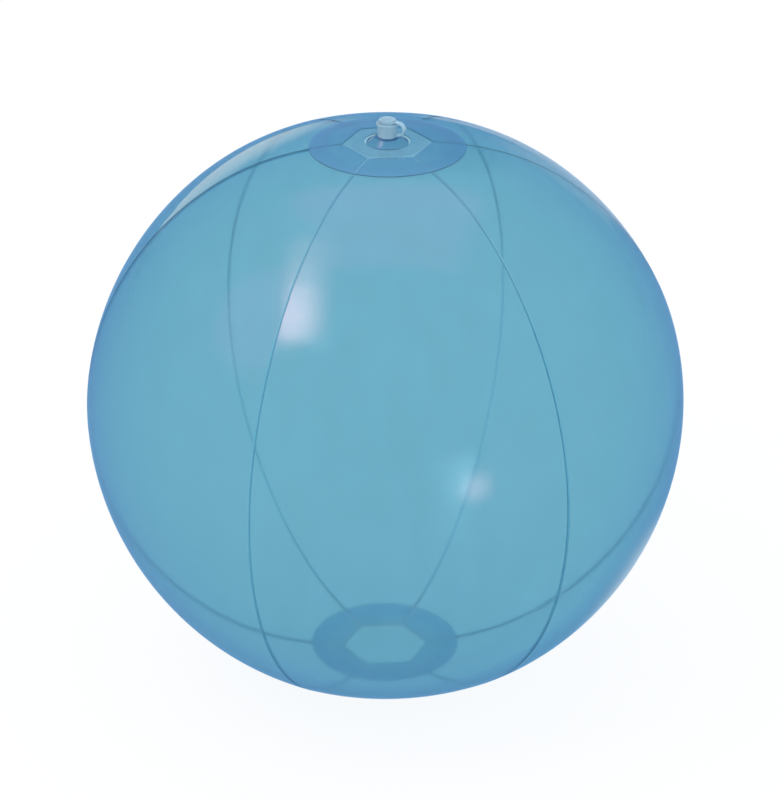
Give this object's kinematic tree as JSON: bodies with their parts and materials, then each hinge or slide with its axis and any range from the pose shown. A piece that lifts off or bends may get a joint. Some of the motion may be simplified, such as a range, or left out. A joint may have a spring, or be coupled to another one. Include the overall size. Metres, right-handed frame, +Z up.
{
  "type": "beach ball",
  "caption": "Inflated beach ball of translucent film: welded gores, round end caps and a push-in mouth valve with a tethered plug.",
  "frame": {"origin": "middle of the flat patch on the bottom cap, on which the ball stands", "axes": "+Z up along the ball's axis to the valve, -Y towards the picture's viewer, +X to the viewer's right"},
  "size_m": [0.282, 0.28, 0.2799],
  "materials": {
    "film": "glossy translucent blue PVC film",
    "valve": "moulded translucent soft PVC"
  },
  "bodies": {
    "shell": {"gore_1": "film", "gore_2": "film", "gore_3": "film", "gore_4": "film", "gore_5": "film", "gore_6": "film", "top_cap": "film", "bottom_cap": "film", "valve_flange": "film", "valve_web": "film"},
    "stem": {"valve_stem": "valve", "plug_strap": "valve"},
    "plug": {"valve_plug": "valve"},
    "flap": {"check_flap": "valve"}
  },
  "joints": [
    {"name": "stem_push", "type": "slide", "parent": "shell", "child": "stem", "axis": [0, 0, -1], "range_m": [0, 0.006], "deforming": ["valve_web"]},
    {"name": "plug_pull", "type": "slide", "parent": "stem", "child": "plug", "axis": [0, 0, 1], "range_m": [0, 0.005], "deforming": ["plug_strap"]},
    {"name": "flap_open", "type": "hinge", "parent": "stem", "child": "flap", "pos_m": [-0.0037, 0, 0.27097], "axis": [0, 1, 0], "range_deg": [0, 60], "stiffness_Nm_per_rad": 0.00005}
  ]
}
